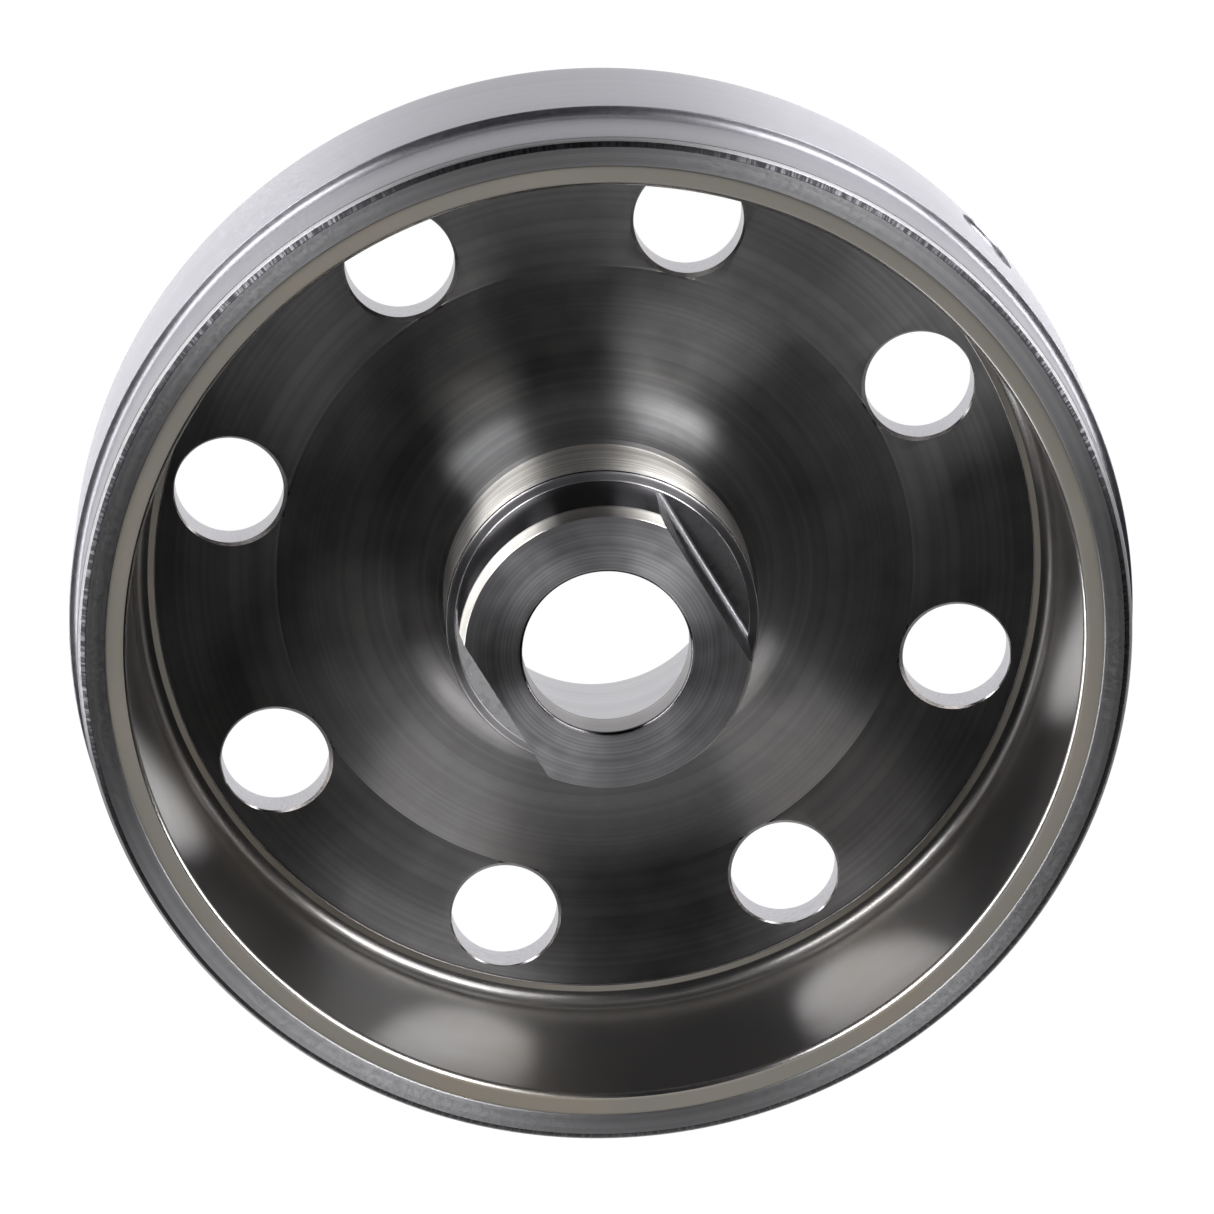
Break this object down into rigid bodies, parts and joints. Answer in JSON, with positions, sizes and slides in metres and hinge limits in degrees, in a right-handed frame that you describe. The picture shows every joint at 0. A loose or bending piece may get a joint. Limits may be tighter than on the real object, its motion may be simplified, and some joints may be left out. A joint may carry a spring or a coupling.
{
  "type": "outer rotor flywheel",
  "caption": "Cup-shaped steel flywheel with a taper hub, a ring of rim magnets under a stainless cover, and round holes in its web.",
  "frame": {"origin": "centre of the flat back face, on the turning axis", "axes": "+Z along the turning axis, out of the open stator side; +X through the centre of one web hole and square to the hub's wrench flats"},
  "size_m": [0.1222, 0.1222, 0.0344],
  "materials": {
    "turned_steel": "satin turned",
    "stainless_sheet": "dull pressed sheet",
    "moulded_resin": "moulded",
    "magnet": "sintered, thinly plated"
  },
  "bodies": {
    "root": {"rotor_shell": "turned_steel", "magnet_cover": "stainless_sheet", "magnet_cage": "moulded_resin", "front_spacer": "moulded_resin", "magnet_01": "magnet", "magnet_02": "magnet", "magnet_03": "magnet", "magnet_04": "magnet", "magnet_05": "magnet", "magnet_06": "magnet", "magnet_07": "magnet", "magnet_08": "magnet", "magnet_09": "magnet", "magnet_10": "magnet", "magnet_11": "magnet", "magnet_12": "magnet"}
  },
  "joints": []
}
